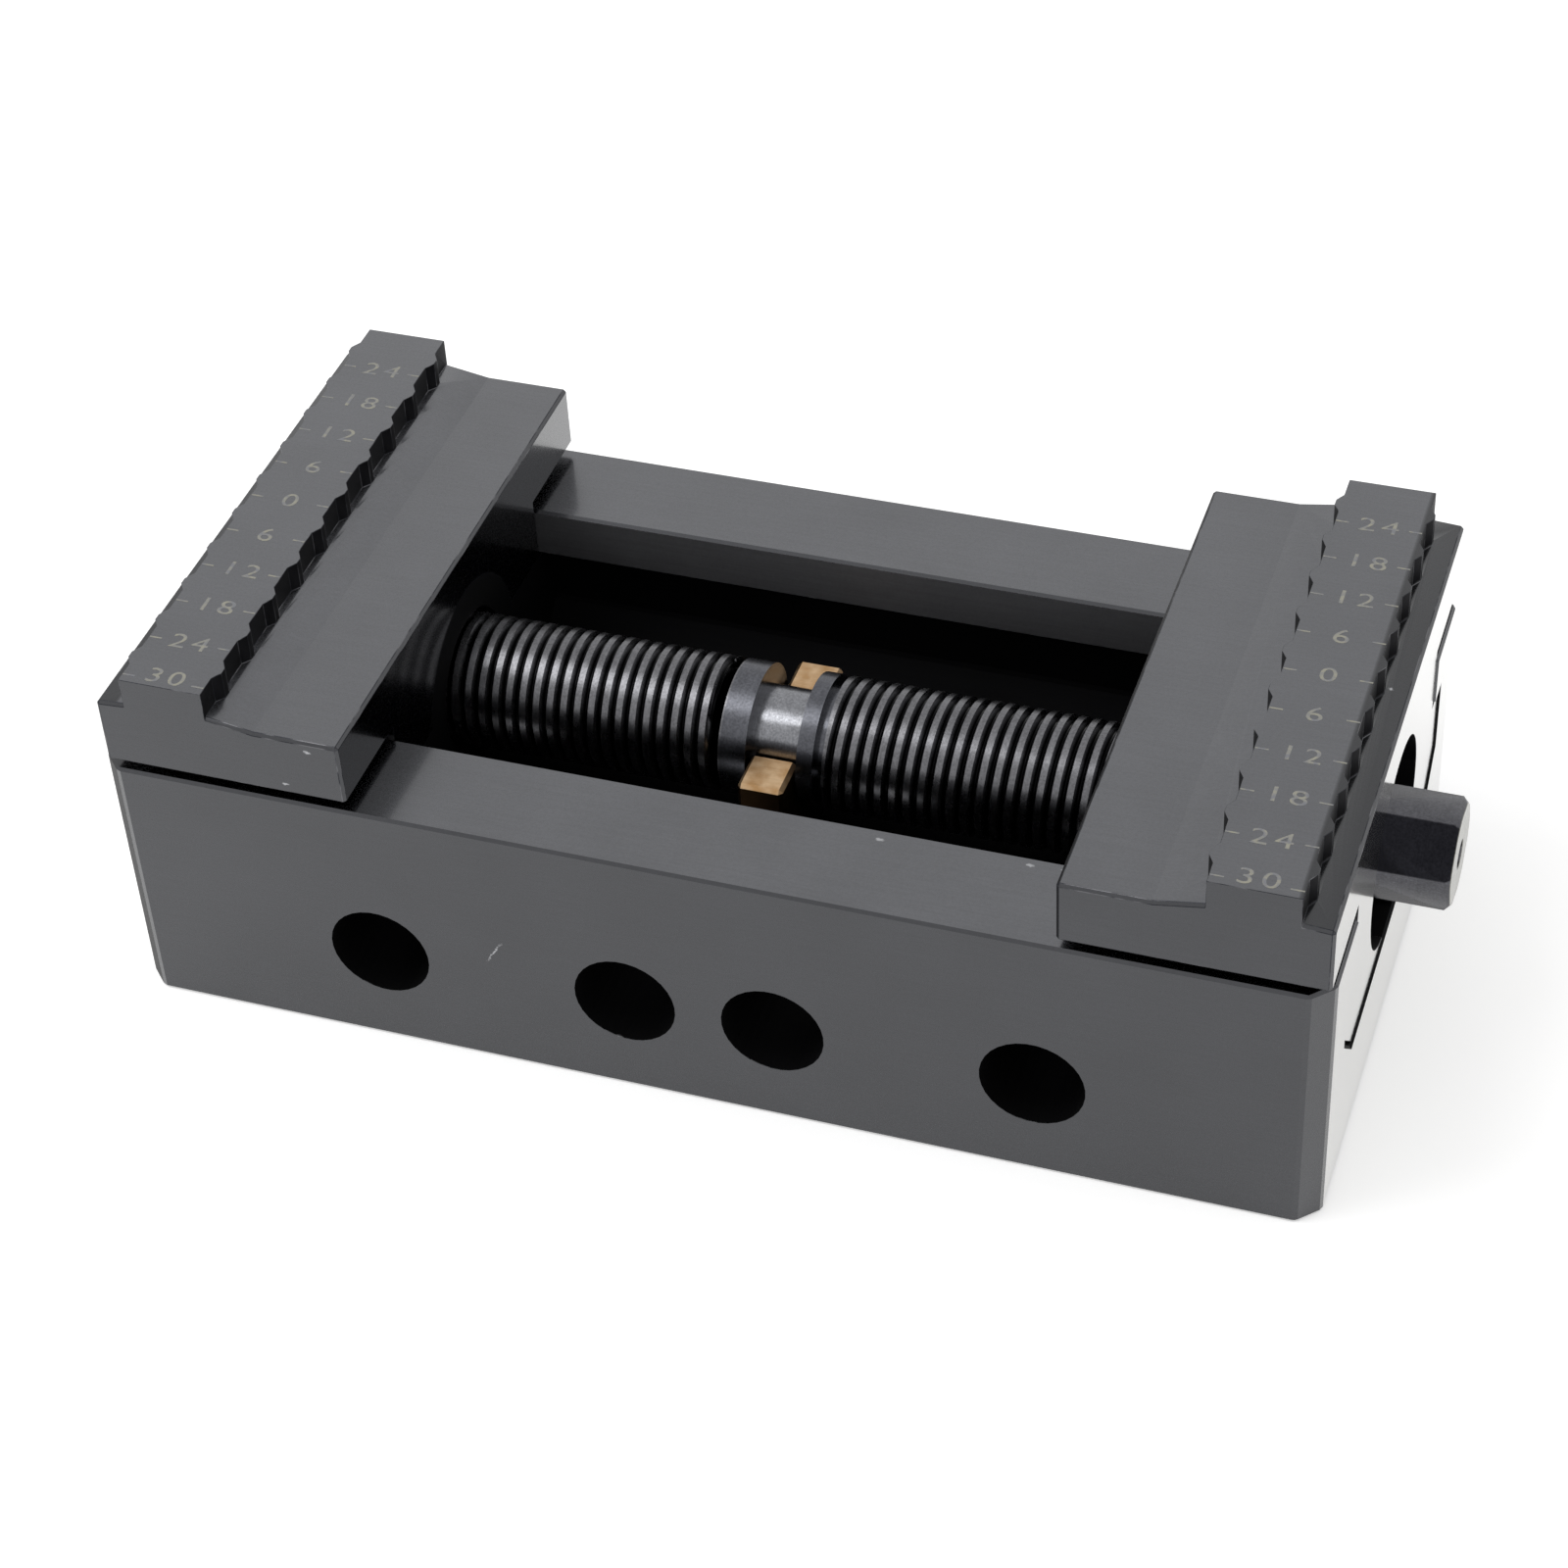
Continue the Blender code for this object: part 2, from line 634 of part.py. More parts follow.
def yoke_screw(name, y):
    """A low-head cap screw, head down, that draws the yoke into its seat from below."""
    tip = HEAD_TOP + YOKE_SCREW_LENGTH
    profile = [
        (tip, 0),
        (tip, YOKE_SCREW_RADIUS - PIN_CHAMFER),
        (tip - PIN_CHAMFER, YOKE_SCREW_RADIUS),
        (HEAD_TOP, YOKE_SCREW_RADIUS),
        (HEAD_TOP, YOKE_HEAD_RADIUS),
        (YOKE_HEAD_RECESS + PIN_CHAMFER, YOKE_HEAD_RADIUS),
        (YOKE_HEAD_RECESS, YOKE_HEAD_RADIUS - PIN_CHAMFER),
        (YOKE_HEAD_RECESS, 0),
    ]
    place = (0, y, 0)
    obj = turned(name, profile, "+Z", place, SMALL_STEPS)
    top = YOKE_HEAD_RECESS + YOKE_SOCKET_DEPTH
    combine(obj, "DIFFERENCE", socket(f"{name}_socket", YOKE_SOCKET, place, "+Z", -OVERSHOOT, top))
    return finish(obj, SCREW_STEEL)


def location_bush(name, side):
    """A hardened sleeve in the underside that takes a pin of the machine's table."""
    top = BUSH_LENGTH + GAP
    profile = [
        (top, BUSH_BORE_RADIUS),
        (top, BUSH_RADIUS - PIN_CHAMFER),
        (top - PIN_CHAMFER, BUSH_RADIUS),
        (GAP, BUSH_RADIUS),
        (GAP, BUSH_BORE_RADIUS + PIN_CHAMFER),
        (GAP + PIN_CHAMFER, BUSH_BORE_RADIUS),
    ]
    return finish(turned(name, profile, "+Z", (side * BUSH_X, 0, 0)), SCREW_STEEL)


clear_scene()
PARTS = new_collection("self_centering_vise")
CUTTERS = new_collection("cutters")
BLACK_STEEL = material("black_oxide_steel", (0.085, 0.087, 0.092), 0.42, 0.7)
SPINDLE_STEEL = material("black_spindle_steel", (0.035, 0.036, 0.038), 0.30, 0.8)
SCREW_STEEL = material("hardened_screw_steel", (0.060, 0.060, 0.063), 0.35, 0.9)
BRONZE = material("bearing_bronze", (0.56, 0.38, 0.20), 0.38, 0.9)

axis_point = Vector((0, 0, SPINDLE_HEIGHT))
spindle_turn = joint_empty("spindle_turn", axis_point)
left_slide = joint_empty("left_jaw_slide", axis_point)
right_slide = joint_empty("right_jaw_slide", axis_point)

body()
jaw("left_jaw", -1, left_slide)
nut("left_nut", -1, left_slide)
nut_screw("left_nut_screw", -1, left_slide)
jaw("right_jaw", 1, right_slide)
nut("right_nut", 1, right_slide)
nut_screw("right_nut_screw", 1, right_slide)
spindle(spindle_turn)
yoke()
yoke_screw("front_yoke_screw", -YOKE_SCREW_Y)
yoke_screw("rear_yoke_screw", YOKE_SCREW_Y)
location_bush("left_location_bush", -1)
location_bush("right_location_bush", 1)
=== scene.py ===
"""Looks of a low self-centering vise: ground black-oxide steel, a threaded spindle and a bronze yoke.

Metres, +Z up. The origin is the centre of the body's underside, X runs along the spindle towards its
hexagonal end, and Y runs across the rails, away from the front.
"""

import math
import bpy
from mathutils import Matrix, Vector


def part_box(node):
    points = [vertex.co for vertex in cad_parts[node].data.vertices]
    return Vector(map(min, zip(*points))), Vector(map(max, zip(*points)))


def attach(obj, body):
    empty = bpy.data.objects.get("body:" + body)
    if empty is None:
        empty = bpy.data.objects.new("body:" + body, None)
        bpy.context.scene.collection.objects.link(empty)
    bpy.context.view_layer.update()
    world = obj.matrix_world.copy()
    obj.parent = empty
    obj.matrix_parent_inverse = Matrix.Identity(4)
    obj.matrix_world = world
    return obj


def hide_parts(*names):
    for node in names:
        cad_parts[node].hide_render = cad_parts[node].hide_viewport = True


bl_info = {
    "name": "Self-centering vise",
    "version": (1, 0, 0),
    "blender": (4, 5, 0),
    "location": "3D View > Sidebar > Vise",
    "description": "Finishes a self-centering vise and sets its studio",
    "category": "Object",
}

import bmesh
import bpy
from bpy.props import FloatProperty, FloatVectorProperty, IntProperty, PointerProperty
from mathutils import Matrix, Vector

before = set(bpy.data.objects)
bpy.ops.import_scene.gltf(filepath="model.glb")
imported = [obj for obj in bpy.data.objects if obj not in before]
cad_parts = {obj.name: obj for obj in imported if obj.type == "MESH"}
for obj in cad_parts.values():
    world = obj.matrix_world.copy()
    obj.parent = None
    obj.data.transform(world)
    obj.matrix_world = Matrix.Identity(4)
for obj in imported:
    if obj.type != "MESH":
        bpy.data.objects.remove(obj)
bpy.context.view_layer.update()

MM = 0.001
TOUCH = 0.005 * MM
MERGE = 0.002 * MM
STITCH = 0.02 * MM
FLAT = math.radians(0.4)
SHARP = math.radians(30)

# Sockets of a Mix node that mixes colours
FACTOR = 0
FIRST = 6
SECOND = 7

# Depth of the fine relief that the wheel, the salt and the lathe leave
RELIEF = 0.002 * MM
CUTTER_RELIEF = 0.003 * MM

# Places in the frame that the steel's finish changes at
EASE = 0.4 * MM
AXIS_AT = 22.7 * MM
END_AT = 60.2 * MM
SIDE_AT = 31.0 * MM
LIP_AT = 24.6 * MM
LIP_SIDE_AT = 19.8 * MM
RAIL_AT = 30.2 * MM
SHELF_AT = 58.9 * MM
TOOTH_AT = 39.3 * MM
BORE_TO = 11.3 * MM
# Distances along and across add up to more than this on the upright corners alone
CORNER_FROM = 87 * MM

# Parts of the normal along an axis that a share fades in between
UPWARD = (0.75, 0.95)
TILTED_DOWN = (-0.2, -0.4)
NOT_UNDER = (-0.95, -0.85)
ACROSS = (0.8, 0.9)
TOOTH_WALL = (0.35, 0.45)
TILTED_FAR = (-0.4, -0.6)
NOT_FAR = (-0.95, -0.85)
BRONZE_TOP = (0.3, 0.8)

# Places on the spindle that its finish changes at, along it and off its axis
ROOT_TO = 6.42 * MM
CREST_FROM = 6.80 * MM
NECK_RADIUS = 4.9 * MM
NECK_TO = 2.65 * MM
COLLAR_TO = 5.4 * MM
DRIVE_FROM = 54.8 * MM
TIP_AT = 68.6 * MM
# The hexagon's flats with painted light, and where the first of them faces, as a turn from +Y towards +Z
PAINTED_LIGHT_FLATS = 3
PAINTED_LIGHT_TURN = math.radians(79.6)

TICK_INSET = 0.7 * MM
LAMP_AT = (-380 * MM, -160 * MM, 700 * MM)
SENSOR_WIDTH = 36
CAMERA_AT = (100.20 * MM, -267.22 * MM, 265.51 * MM)
CAMERA_TURN = (48.782, 2.723, 18.394)

# Nicks and a scratch: middle and half sizes in mm, and the turn about Y in degrees
NICKS = (
    ((-21.3, -31.0, 15.0), (1.9, 0.3, 0.10), -58),
    ((-8.4, -31.0, 6.7), (0.6, 0.3, 0.15), 0),
    ((-38.4, -31.0, 37.3), (0.3, 0.3, 0.25), 0),
    ((-41.4, -31.0, 32.6), (0.4, 0.3, 0.15), 0),
    ((16.2, -20.9, 30.3), (0.5, 0.25, 0.3), 0),
    ((31.0, -20.6, 30.3), (0.5, 0.25, 0.3), 0),
    ((34.3, -20.4, 30.3), (0.4, 0.25, 0.3), 0),
    ((-4.0, 19.5, 24.7), (0.5, 0.3, 0.25), 0),
    ((60.1, 3.5, 39.0), (0.3, 0.25, 0.3), 0),
)

JAWS = ("left_jaw", "right_jaw")


def linear(code):
    """An sRGB hex colour as linear red, green, blue and alpha."""
    parts = [int(code[start : start + 2], 16) / 255 for start in (1, 3, 5)]
    return [c / 12.92 if c <= 0.04045 else ((c + 0.055) / 1.055) ** 2.4 for c in parts] + [1.0]


def color_property(name, description, code):
    return FloatVectorProperty(
        name=name, description=description, subtype="COLOR", size=4, min=0, max=1, default=linear(code)
    )


def length_property(name, description, millimetres):
    return FloatProperty(
        name=name, description=description, subtype="DISTANCE", unit="LENGTH", default=millimetres * MM
    )


class ViseFinish(bpy.types.PropertyGroup):
    """Colours and surface of the steel and the bronze"""

    # Tops lighter than the sides: painted light on the upward faces
    oxide_top: color_property("Oxide, tops", "Black oxide on the finely ground upward faces", "#535458")
    oxide_side: color_property("Oxide, sides", "Black oxide on the coarser ground sides", "#313236")
    # Painted highlight: the pale colour of the bright ends and of the spindle's tip
    oxide_end: color_property("Oxide, ends", "Thin oxide on the bright-faced ends", "#96958e")
    # Painted highlight: the paler band on the lips' inner faces
    milled_lip: color_property("Milled lip", "Paler oxide on the lips' inner faces", "#77777a")
    # Painted shade: the near black of the channel, the drain holes and the bores
    oxide_recess: color_property("Oily recess", "Oil and dust in the channel and the holes", "#151516")
    # Painted shade: the dark tone of the teeth's walls and the chamfers
    oxide_shade: color_property("Coarse oxide", "Dry oxide on the teeth and chamfers", "#1d1d1f")
    # Painted shade: the darker tone of the shelves beside the ridge walls
    oxide_shelf: color_property("Oxide, shelves", "Black oxide behind the ridges", "#28292c")
    bare_steel: color_property("Bare steel", "Steel that shows in nicks and scratches", "#9c9da0")
    roughness: FloatProperty(
        name="Roughness", description="Roughness of ground faces", min=0, max=1, default=0.28
    )
    edge_round: length_property("Edge round", "Width of the jaws' eased edges", 0.05)
    # Painted shade in the thread's roots and painted highlight on its crests
    thread_root: color_property("Thread, root", "Oil and oxide at the bottom of the thread", "#0c0c0d")
    thread_crest: color_property("Thread, crest", "Crests that the nuts have rubbed grey", "#69696c")
    # Partly polished steel and partly a painted highlight on the neck
    neck: color_property("Neck", "Polished steel where the yoke runs", "#7e7f83")
    collar: color_property("Collars", "Oxide on the collars beside the neck", "#55565b")
    # The hexagon's flats: painted shade on three, painted light on the other three
    drive: color_property("Drive end", "Oxide on the hexagon", "#1f1f23")
    drive_rubbed: color_property("Drive end, rubbed", "Flats that the wrench has rubbed", "#515155")
    screw_color: color_property("Screws and bushes", "Hardened steel under black oxide", "#58585b")
    bronze_light: color_property("Bronze, light", "Freshly cut bronze", "#c9ac89")
    bronze_dark: color_property("Bronze, dark", "Handled bronze", "#ac885f")
    # Painted shade: the darker brown of the bronze's sides
    bronze_oily: color_property("Bronze, oily", "Bronze sides under old oil", "#4a3826")
    mark_color: color_property("Laser mark", "Pale oxide that the laser leaves", "#98968a")


class ViseThread(bpy.types.PropertyGroup):
    """The spindle's 60 degree thread"""

    pitch: length_property("Pitch", "Distance between two crests", 1.5)
    depth: length_property("Depth", "Height of the crest over the root", 0.62)
    crest: length_property("Crest flat", "Width of the flat crest", 0.66)
    root: length_property("Root flat", "Width of the flat root", 0.12)
    steps: IntProperty(name="Steps", description="Faces in one turn of the thread", min=12, default=48)


class ViseScale(bpy.types.PropertyGroup):
    """The millimetre scale marked on the jaws' ridges"""

    step: length_property("Step", "Distance between two numerals", 6.0)
    front_reach: length_property("Front reach", "Distance of the front numeral from the middle", 30.0)
    rear_reach: length_property("Rear reach", "Distance of the rear numeral from the middle", 24.0)
    size: length_property("Type size", "Size of the numerals' type", 3.0)
    stretch: FloatProperty(name="Stretch", description="Width of the type against its height", default=1.25)
    spacing: FloatProperty(name="Spacing", description="Space between the digits", default=1.25)
    edge: length_property("Edge distance", "Least distance of a numeral from the jaw's side", 0.35)
    tick: length_property("Tick length", "Length of the tick marks at the ridge's edges", 1.3)
    tick_width: length_property("Tick width", "Width of the tick marks", 0.2)
    thickness: length_property("Mark thickness", "Height of the mark over the steel", 0.012)


class ViseStage(bpy.types.PropertyGroup):
    """Floor, light and camera"""

    floor_color: color_property("Floor", "Colour of the pale floor", "#f2f2f2")
    floor_size: length_property("Floor size", "Side of the square floor", 6000)
    floor_lift: FloatProperty(
        name="Floor lift", description="Light added where the floor is seen", default=0.42
    )
    sky: FloatProperty(name="Sky", description="Strength of the even light from all round", default=0.72)
    lamp_power: FloatProperty(
        name="Lamp power", description="Power of the soft lamp", subtype="POWER", default=2.0
    )
    lamp_size: length_property("Lamp size", "Side of the square soft lamp", 420)
    lens: FloatProperty(name="Lens", description="Focal length in mm on a sensor 36 mm wide", default=84.05)


def add_node(tree, kind, inputs=None, **settings):
    """Adds a node with its settings. An input takes a value, a socket, or a node, which stands for the
    first of its outputs that is enabled."""
    made = tree.nodes.new(kind)
    for name, value in settings.items():
        setattr(made, name, value)
    for name, value in (inputs or {}).items():
        if isinstance(value, bpy.types.Node):
            value = next(socket for socket in value.outputs if socket.enabled)
        if isinstance(value, bpy.types.NodeSocket):
            tree.links.new(value, made.inputs[name])
        else:
            made.inputs[name].default_value = value
    return made


def new_material(name):
    """A new material, its tree and the object coordinates in it, which are all that it holds."""
    material = bpy.data.materials.new(name)
    material.use_nodes = True
    tree = material.node_tree
    tree.nodes.clear()
    return material, tree, add_node(tree, "ShaderNodeTexCoord").outputs["Object"]


def speckle(tree, place, size, stretch=(1, 1, 1), detail=2.0):
    """A cloudy pattern round 0.5 whose specks measure about size metres, times stretch along each axis."""
    scale = [1 / (size * along) for along in stretch]
    spaced = add_node(tree, "ShaderNodeMapping", {"Vector": place, "Scale": scale})
    return add_node(tree, "ShaderNodeTexNoise", {"Vector": spaced, "Scale": 1.0, "Detail": detail})


def mottled(tree, color, pattern, amount):
    """The colour, made lighter and darker by a share of itself where the pattern is high and low."""
    value = add_node(
        tree, "ShaderNodeMath", {0: pattern, 1: 2 * amount, 2: 1 - amount}, operation="MULTIPLY_ADD"
    )
    return add_node(tree, "ShaderNodeHueSaturation", {"Value": value, "Color": color})


def steel_surface(tree, color, roughness, relief, depth, oil=0.0):
    """A metal surface with fine relief and, over it, a thin film of oil."""
    bump = add_node(tree, "ShaderNodeBump", {"Height": relief, "Strength": 0.5, "Distance": depth})
    surface = add_node(
        tree,
        "ShaderNodeBsdfPrincipled",
        {
            "Base Color": color,
            "Metallic": 1.0,
            "Roughness": roughness,
            "Normal": bump,
            "Coat Weight": oil,
            "Coat Roughness": 0.12,
        },
    )
    add_node(tree, "ShaderNodeOutputMaterial", {"Surface": surface})


def all_reached(tree, ranges):
    """1 where every value has reached the end of its range, 0 where one is still before its start, and
    a fade between. A range is a value, its start and its end, which may be lower than the start."""
    total = 1.0
    for value, start, end in ranges:
        share = add_node(tree, "ShaderNodeMapRange", {"Value": value, "From Min": start, "From Max": end})
        total = add_node(tree, "ShaderNodeMath", {0: total, 1: share}, operation="MULTIPLY")
    return total


def off_axis_distance(tree, y, z):
    """The distance from the spindle's axis."""
    flat = add_node(tree, "ShaderNodeCombineXYZ", {1: y, 2: z})
    off = add_node(tree, "ShaderNodeVectorMath", {0: flat, 1: (0, 0, AXIS_AT)}, operation="DISTANCE")
    return off.outputs["Value"]


def steel_shares(tree, position):
    """Where each state of the body's and the jaws' oxide, and its painted light and painted shade, lies: a
    share from 0 to 1 for each name.
    """
    normal = add_node(tree, "ShaderNodeTexCoord").outputs["Normal"]
    x, y, z = add_node(tree, "ShaderNodeSeparateXYZ", {0: position}).outputs
    facing_x, facing_y, facing_z = add_node(tree, "ShaderNodeSeparateXYZ", {0: normal}).outputs
    along = add_node(tree, "ShaderNodeMath", {0: x}, operation="ABSOLUTE")
    side = add_node(tree, "ShaderNodeMath", {0: y}, operation="ABSOLUTE")
    steep = add_node(tree, "ShaderNodeMath", {0: facing_x}, operation="ABSOLUTE")
    across = add_node(tree, "ShaderNodeMath", {0: facing_y}, operation="ABSOLUTE")
    outward = add_node(tree, "ShaderNodeMath", {0: x, 1: facing_x}, operation="MULTIPLY")
    outward = add_node(tree, "ShaderNodeMath", {0: outward}, operation="ABSOLUTE")
    diagonal = add_node(tree, "ShaderNodeMath", {0: along, 1: side}, operation="ADD")

    # The faces that close the vise's two ends, which get a pale painted highlight
    inputs = {"Value": outward, "From Min": END_AT, "From Max": END_AT + EASE}
    ends = add_node(tree, "ShaderNodeMapRange", inputs)
    # The channel and the drain holes, and the bores along the spindle, which get near black painted shade
    channel = all_reached(
        tree,
        [
            (side, SIDE_AT - EASE / 8, SIDE_AT - EASE / 4),
            (z, LIP_AT, LIP_AT - EASE),
            (facing_z, *NOT_UNDER),
            (diagonal, CORNER_FROM + EASE, CORNER_FROM),
        ],
    )
    off = off_axis_distance(tree, y, z)
    inputs = {"Value": off, "From Min": BORE_TO, "From Max": BORE_TO - EASE}
    bores = add_node(tree, "ShaderNodeMapRange", inputs)
    recess = add_node(tree, "ShaderNodeMath", {0: channel, 1: bores}, operation="MAXIMUM")
    recess = add_node(tree, "ShaderNodeMath", {0: recess, 1: ends}, operation="SUBTRACT", use_clamp=True)
    # The inner faces of the rails' lips, which get a paler painted highlight
    lips = all_reached(
        tree,
        [
            (across, *ACROSS),
            (side, LIP_SIDE_AT, LIP_SIDE_AT - EASE / 4),
            (z, LIP_AT - EASE, LIP_AT),
            (z, RAIL_AT + EASE, RAIL_AT),
        ],
    )
    # The upward faces, lighter as painted light, and the shelves behind the ridges, darker as painted shade
    tops = all_reached(tree, [(facing_z, *UPWARD), (along, SHELF_AT, SHELF_AT - EASE)])
    shelves = all_reached(tree, [(facing_z, *UPWARD), (along, SHELF_AT - EASE, SHELF_AT)])
    # The teeth's walls, the chamfers that look down, and those that look slantwise to the far end, which all
    # get painted shade
    painted_shade_faces = all_reached(tree, [(steep, *TOOTH_WALL), (z, TOOTH_AT - EASE / 2, TOOTH_AT)])
    for value, tilted, not_straight in ((facing_z, TILTED_DOWN, NOT_UNDER), (facing_x, TILTED_FAR, NOT_FAR)):
        chamfers = all_reached(tree, [(value, *tilted), (value, *not_straight)])
        painted_shade_faces = add_node(tree, "ShaderNodeMath", {0: painted_shade_faces, 1: chamfers}, operation="MAXIMUM")
    return {
        "ends": ends,
        "recess": recess,
        "lips": lips,
        "tops": tops,
        "shelves": shelves,
        "painted_shade_faces": painted_shade_faces,
        "nicks": nick_share(tree, position),
    }


def nick_share(tree, position):
    """1 in the small ragged nicks and the scratch that handling has left, else 0."""
    # The cloudy pattern moves each point by up to half of this, so that the nicks' rims are ragged
    ragged_by = (0.9 * MM, 0.3 * MM, 0.3 * MM)
    ragged = speckle(tree, position, 0.35 * MM, detail=3.0).outputs["Color"]
    shift = add_node(tree, "ShaderNodeVectorMath", {0: ragged, 1: (0.5, 0.5, 0.5)}, operation="SUBTRACT")
    place = add_node(
        tree, "ShaderNodeVectorMath", {0: shift, 1: ragged_by, 2: position}, operation="MULTIPLY_ADD"
    )
    total = 0.0
    for middle, size, turn in NICKS:
        inputs = {
            "Vector": place,
            "Location": Vector(middle) * MM,
            "Rotation": (0, math.radians(turn), 0),
            "Scale": Vector(size) * MM,
        }
        local = add_node(tree, "ShaderNodeMapping", inputs, vector_type="TEXTURE")
        off = add_node(tree, "ShaderNodeVectorMath", {0: local}, operation="LENGTH").outputs["Value"]
        share = add_node(tree, "ShaderNodeMapRange", {"Value": off, "From Min": 1.0, "From Max": 0.4})
        total = add_node(tree, "ShaderNodeMath", {0: total, 1: share}, operation="MAXIMUM")
    return total


def ground_steel(name, finish):
    """Tool steel, surface ground, blackened in a hot salt bath and oiled. The eye gets an even, cool dark
    grey, lighter on the finely ground tops as painted light, with a soft sheen and a pale painted highlight
    at the ends, a paler painted highlight on the lips' inner faces, painted shade on the shelves, the
    teeth's walls and the chamfers, near black painted shade in the recesses, and the wheel's fine lines and
    the salt's grain in the gloss."""
    material, tree, position = new_material(name)
    shares = steel_shares(tree, position)
    clouds = speckle(tree, position, 11 * MM, detail=3.0)
    grain = speckle(tree, position, 0.32 * MM)
    # The wheel's lines are 0.05 mm wide on the real faces and are drawn 0.22 mm wide to show
    lines = speckle(tree, position, 0.22 * MM, stretch=(40, 1, 1), detail=1.0)

    # Over the sides' oxide: painted light on the tops, painted highlights on the lips and ends, painted
    # shade on the shelves, teeth, chamfers and recesses, and the nicks' bare steel
    layers = (
        ("tops", finish.oxide_top),
        ("lips", finish.milled_lip),
        ("ends", finish.oxide_end),
        ("shelves", finish.oxide_shelf),
        ("painted_shade_faces", finish.oxide_shade),
        ("recess", finish.oxide_recess),
        ("nicks", finish.bare_steel),
    )
    color = finish.oxide_side
    for place, over in layers:
        inputs = {FACTOR: shares[place], FIRST: color, SECOND: over}
        color = add_node(tree, "ShaderNodeMix", inputs, data_type="RGBA")
    for pattern, amount in ((clouds, 0.16), (grain, 0.14), (lines, 0.10)):
        color = mottled(tree, color, pattern, amount)

    # The grain makes the gloss uneven by this much to each side
    uneven = 0.06
    rough = add_node(
        tree,
        "ShaderNodeMath",
        {0: grain, 1: 2 * uneven, 2: finish.roughness - uneven},
        operation="MULTIPLY_ADD",
    )
    for place, rougher in (("ends", -0.12), ("lips", 0.3), ("painted_shade_faces", 0.25), ("recess", 0.45)):
        inputs = {0: shares[place], 1: rougher, 2: rough}
        rough = add_node(tree, "ShaderNodeMath", inputs, operation="MULTIPLY_ADD")

    # Oil lies everywhere but in the recesses and on the faces with painted shade, and is a fifth thinner on
    # the shelves
    dry = add_node(tree, "ShaderNodeMath", {0: shares["recess"], 1: shares["painted_shade_faces"]}, operation="MAXIMUM")
    inputs = {0: shares["shelves"], 1: 0.2, 2: dry}
    dry = add_node(tree, "ShaderNodeMath", inputs, operation="MULTIPLY_ADD", use_clamp=True)
    oil = add_node(tree, "ShaderNodeMath", {0: 1.0, 1: dry}, operation="SUBTRACT")
    steel_surface(tree, color, rough, lines, RELIEF, oil)
    return material


def rubbed_edge(name, finish):
    """The same black oxide where handling has rubbed it thin on an eased edge, with a painted edge highlight
    in the same paler colour. The eye gets a thin, broken, slightly paler line."""
    material, tree, position = new_material(name)
    wear = speckle(tree, position, 3 * MM, detail=5.0)
    share = add_node(tree, "ShaderNodeMapRange", {"Value": wear, "From Min": 0.48, "From Max": 0.62})
    # The paler part is rubbed oxide and partly a painted edge highlight
    color = add_node(
        tree,
        "ShaderNodeMix",
        {FACTOR: share, FIRST: finish.oxide_side, SECOND: finish.thread_crest},
        data_type="RGBA",
    )
    steel_surface(tree, color, 0.4, wear, RELIEF)
    return material


